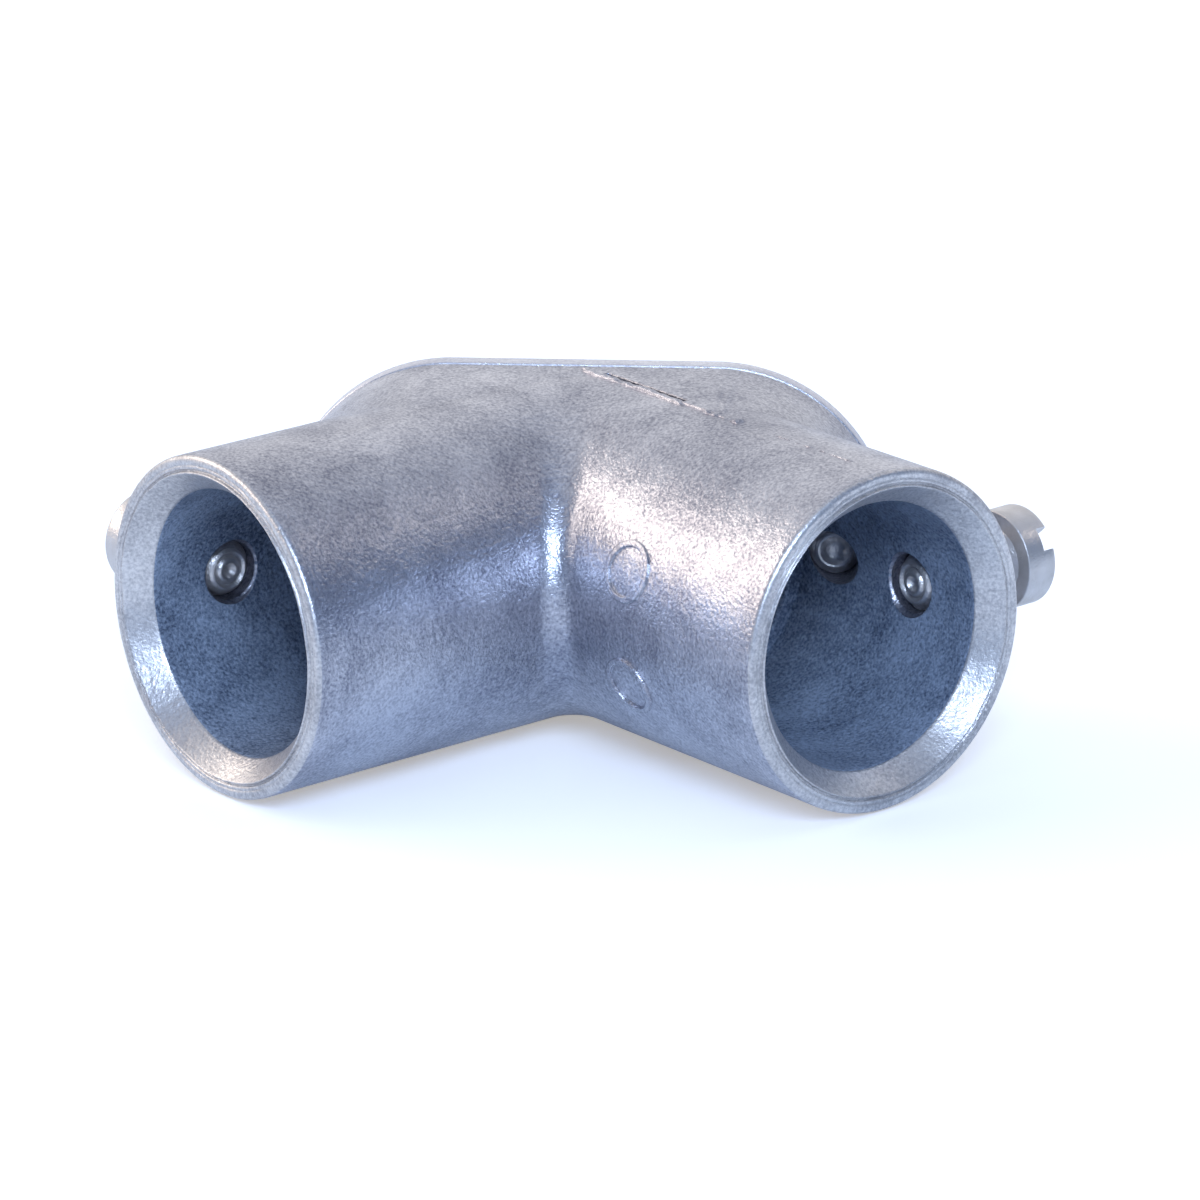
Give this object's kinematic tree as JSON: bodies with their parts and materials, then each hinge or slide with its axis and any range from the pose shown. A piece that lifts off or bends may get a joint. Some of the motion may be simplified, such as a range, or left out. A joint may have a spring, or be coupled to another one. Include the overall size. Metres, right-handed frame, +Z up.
{
  "type": "conduit pulling elbow",
  "caption": "Right-angle cast elbow that joins thin-wall conduit, with a set screw on each socket and a screwed cover over the wire-pulling opening on its outer corner.",
  "frame": {"origin": "middle of the bottom of the bounding box, with the elbow lying on its side", "axes": "+X along the cover to the right, +Y out of the cover, +Z up; both bore axes lie level, 45 degrees to the left and right of -Y"},
  "size_m": [0.0656, 0.0344, 0.0237],
  "materials": {
    "zinc_casting": "as-cast zinc, satin",
    "zinc_cover": "as-cast zinc, satin",
    "gasket": "matte",
    "plated_screw": "zinc plated"
  },
  "bodies": {
    "root": {"elbow_body": "zinc_casting", "cover_gasket": "gasket", "cover_plate": "zinc_cover", "cover_screw_left": "plated_screw", "cover_screw_right": "plated_screw", "set_screw_left": "plated_screw", "set_screw_right": "plated_screw"}
  },
  "joints": []
}
